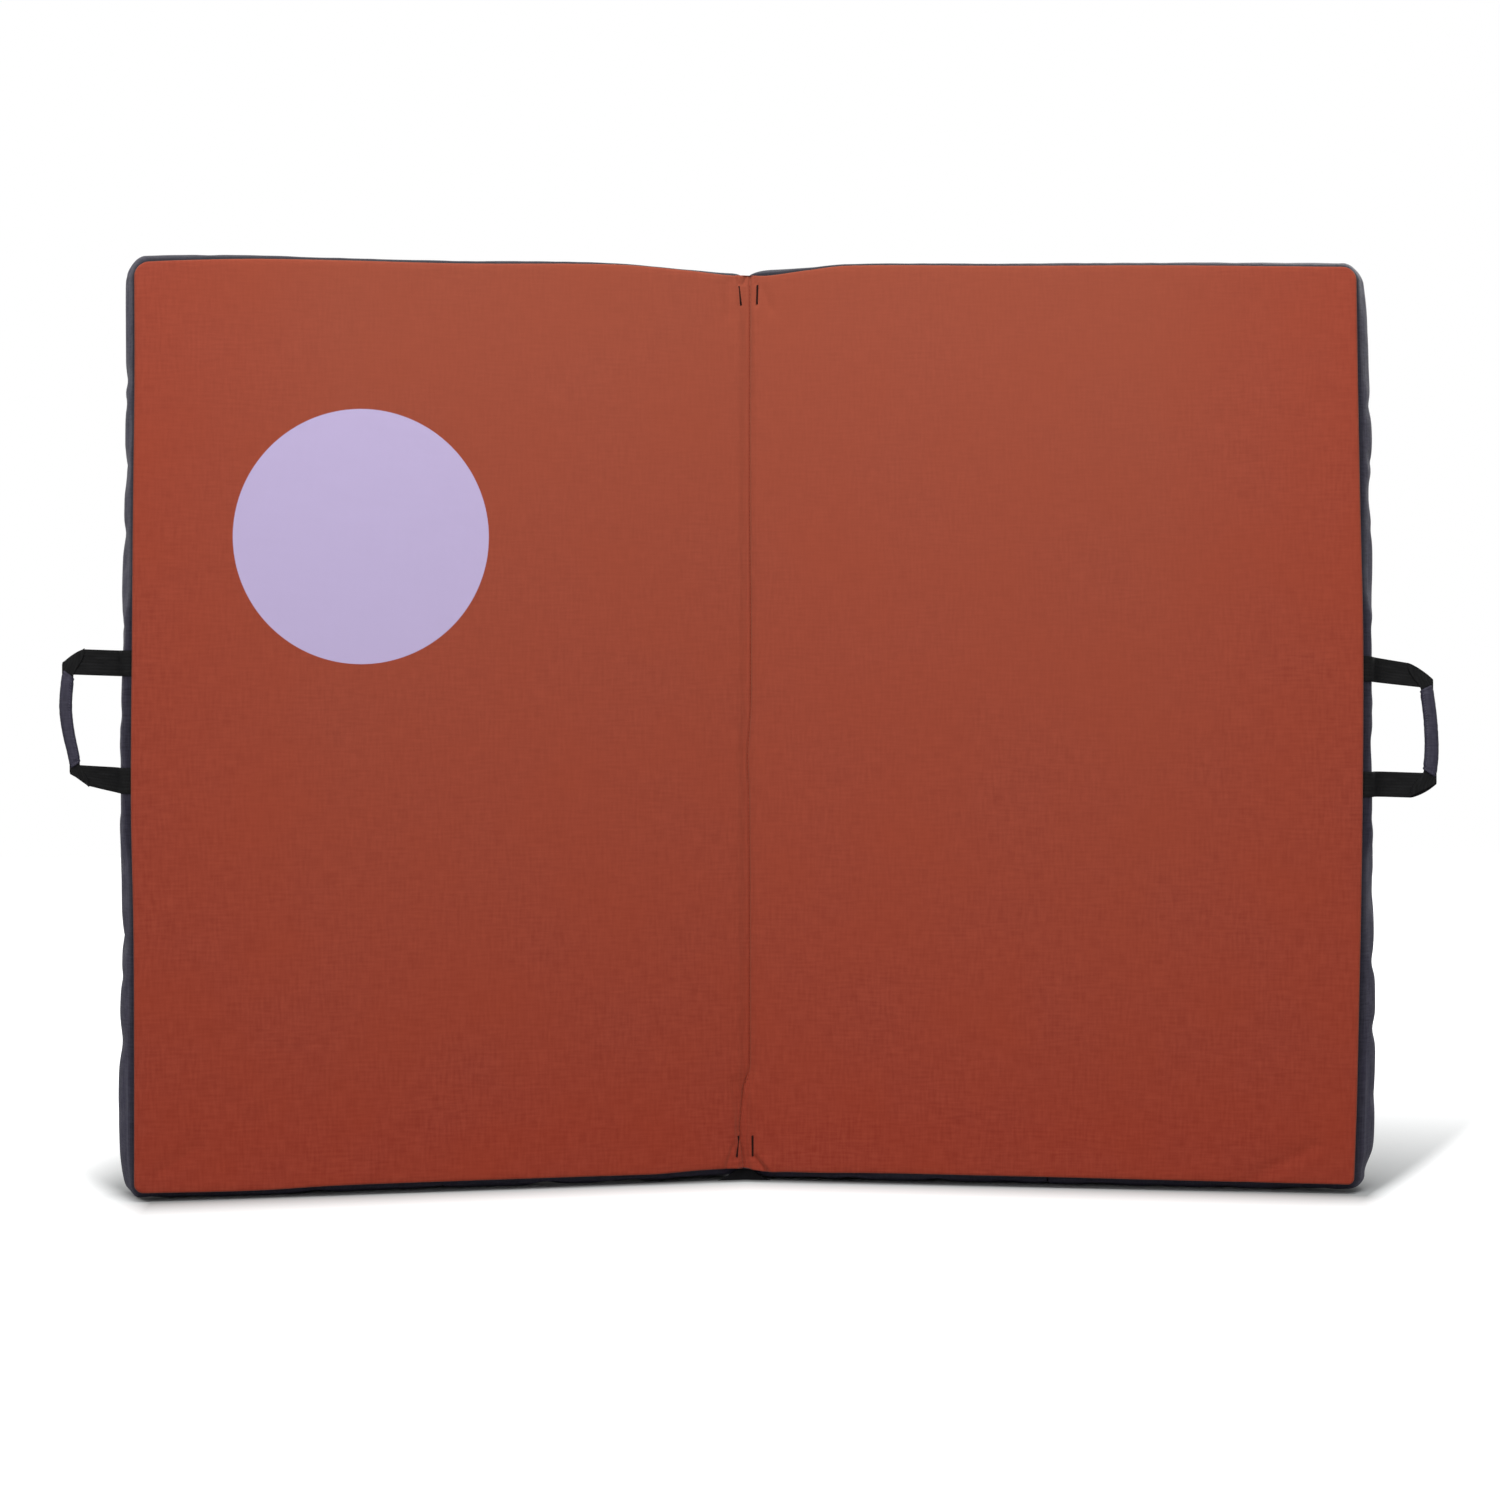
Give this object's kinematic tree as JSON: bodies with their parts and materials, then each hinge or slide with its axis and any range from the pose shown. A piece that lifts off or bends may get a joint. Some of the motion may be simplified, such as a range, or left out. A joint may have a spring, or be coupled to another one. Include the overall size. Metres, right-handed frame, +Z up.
{
  "type": "bouldering crash pad",
  "caption": "Folding bouldering crash pad standing half open on its long edge, with side carry handles, a shoulder harness, a waist belt and hooked closure straps.",
  "frame": {"origin": "foot of the vertical fold axis, on the floor the pad stands on", "axes": "+X along the open pad towards the right panel as seen from the landing side, +Y away from the landing side, +Z up the pad's fold"},
  "size_m": [1.3364, 0.1869, 0.9131],
  "materials": {
    "landing_fabric": "matt woven nylon, rust orange",
    "slate_fabric": "matt woven nylon, slate grey",
    "base_fabric": "coated heavy nylon, charcoal",
    "black_webbing": "woven webbing, black",
    "closed_cell_foam": "closed-cell foam",
    "open_cell_foam": "open-cell foam",
    "aluminium": "satin",
    "black_plastic": "moulded acetal, black"
  },
  "bodies": {
    "left_panel": {"fold_hinge_fabric": "landing_fabric", "inner_adjuster_anchor": "slate_fabric", "inner_adjuster_webbing": "black_webbing", "inner_belt_anchor": "black_webbing", "inner_ladder_lock": "black_plastic", "inner_shoulder_strap": "slate_fabric", "left_base_cover": "base_fabric", "left_core_foam": "open_cell_foam", "left_handle_tab_lower": "black_webbing", "left_handle_tab_upper": "black_webbing", "left_landing_cover": "landing_fabric", "left_landing_foam": "closed_cell_foam", "left_side_gusset": "slate_fabric", "lower_closure_loop": "black_webbing", "outer_adjuster_anchor": "slate_fabric", "outer_adjuster_webbing": "black_webbing", "outer_belt_anchor": "black_webbing", "outer_ladder_lock": "black_plastic", "outer_shoulder_strap": "slate_fabric", "shoulder_yoke": "slate_fabric", "upper_closure_loop": "black_webbing"},
    "right_panel": {"lower_closure_anchor": "black_webbing", "right_base_cover": "base_fabric", "right_core_foam": "open_cell_foam", "right_handle_tab_lower": "black_webbing", "right_handle_tab_upper": "black_webbing", "right_landing_cover": "landing_fabric", "right_landing_foam": "closed_cell_foam", "right_side_gusset": "slate_fabric", "upper_closure_anchor": "black_webbing"},
    "left_handle": {"left_handle_grip": "slate_fabric", "left_handle_webbing": "black_webbing"},
    "right_handle": {"right_handle_grip": "slate_fabric", "right_handle_webbing": "black_webbing"},
    "lower_closure": {"lower_closure_keeper": "black_plastic", "lower_closure_webbing": "black_webbing"},
    "upper_closure": {"upper_closure_keeper": "black_plastic", "upper_closure_webbing": "black_webbing"},
    "lower_hook": {"lower_closure_hook": "aluminium"},
    "upper_hook": {"upper_closure_hook": "aluminium"},
    "inner_belt": {"belt_buckle_socket": "black_plastic", "inner_belt_keeper": "black_plastic", "inner_belt_webbing": "black_webbing"},
    "outer_belt": {"belt_buckle_plug": "black_plastic", "outer_belt_keeper": "black_plastic", "outer_belt_webbing": "black_webbing"}
  },
  "joints": [
    {"name": "main_fold", "type": "hinge", "parent": "left_panel", "child": "right_panel", "pos_m": [0, 0, 0], "axis": [0, 0, -1], "range_deg": [-20, 160]},
    {"name": "left_handle_swing", "type": "hinge", "parent": "left_panel", "child": "left_handle", "pos_m": [-0.60958, -0.07016, 0.457], "axis": [0, 0, -1], "range_deg": [-22, 80]},
    {"name": "right_handle_swing", "type": "hinge", "parent": "right_panel", "child": "right_handle", "pos_m": [0.60958, -0.07016, 0.457], "axis": [0, 0, 1], "range_deg": [-22, 80]},
    {"name": "lower_closure_swing", "type": "hinge", "parent": "right_panel", "child": "lower_closure", "pos_m": [0.50864, 0.00526, 0.137], "axis": [0, 0, -1], "range_deg": [0, 180]},
    {"name": "upper_closure_swing", "type": "hinge", "parent": "right_panel", "child": "upper_closure", "pos_m": [0.50864, 0.00526, 0.777], "axis": [0, 0, -1], "range_deg": [0, 180]},
    {"name": "lower_hook_pivot", "type": "hinge", "parent": "lower_closure", "child": "lower_hook", "pos_m": [0.16933, 0.06773, 0.137], "axis": [0, 0, -1], "range_deg": [0, 90]},
    {"name": "upper_hook_pivot", "type": "hinge", "parent": "upper_closure", "child": "upper_hook", "pos_m": [0.16933, 0.06773, 0.777], "axis": [0, 0, -1], "range_deg": [0, 90]},
    {"name": "inner_belt_swing", "type": "hinge", "parent": "left_panel", "child": "inner_belt", "pos_m": [-0.26835, 0.04763, 0.2], "axis": [0, 0, 1], "range_deg": [0, 85]},
    {"name": "outer_belt_swing", "type": "hinge", "parent": "left_panel", "child": "outer_belt", "pos_m": [-0.36683, 0.03026, 0.2], "axis": [0, 0, -1], "range_deg": [0, 85]}
  ]
}
